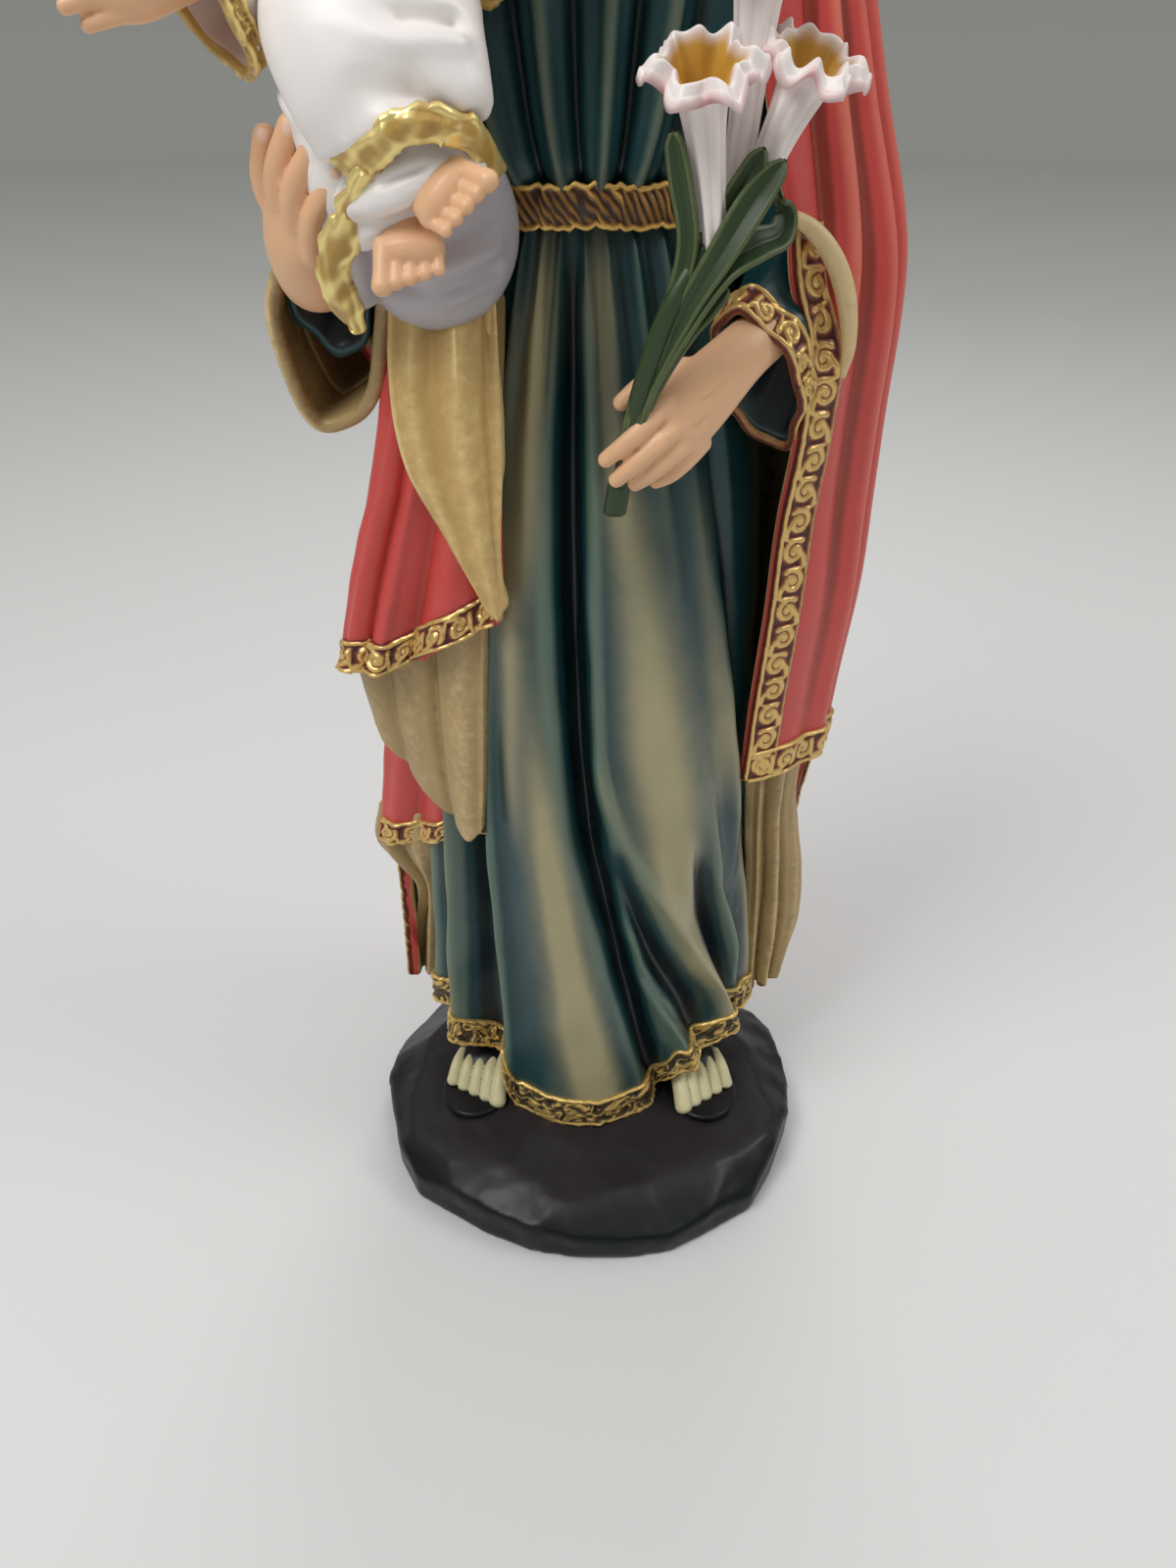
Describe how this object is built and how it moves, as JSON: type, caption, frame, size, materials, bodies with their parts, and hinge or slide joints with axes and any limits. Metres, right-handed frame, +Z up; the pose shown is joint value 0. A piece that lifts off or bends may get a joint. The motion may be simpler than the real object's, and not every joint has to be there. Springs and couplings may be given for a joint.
{
  "type": "religious figurine",
  "caption": "Painted resin figurine of a robed, bearded man holding a small child and a spray of lilies, on a faceted rock base.",
  "frame": {"origin": "middle of the rock's flat underside, on the surface that the figurine stands on", "axes": "+Z up through the figure, which faces -Y; +X is to the right of someone facing it"},
  "size_m": [0.0732, 0.0585, 0.2034],
  "materials": {
    "robe": "satin teal paint with airbrushed ochre on the folds",
    "mantle": "satin coral red paint shaded orange",
    "lining": "dry-brushed pale gold over tan",
    "gilt": "bright gold metallic paint on relief, dark in its hollows",
    "flesh": "satin peach paint",
    "gown": "pearly white paint with lilac shading",
    "hair": "satin brown paint",
    "petal": "white paint tinged pink, ochre in the throats",
    "leaf": "satin dark green paint",
    "rock": "glossy near-black lacquer"
  },
  "bodies": {
    "root": {"statue": "robe"}
  },
  "joints": []
}
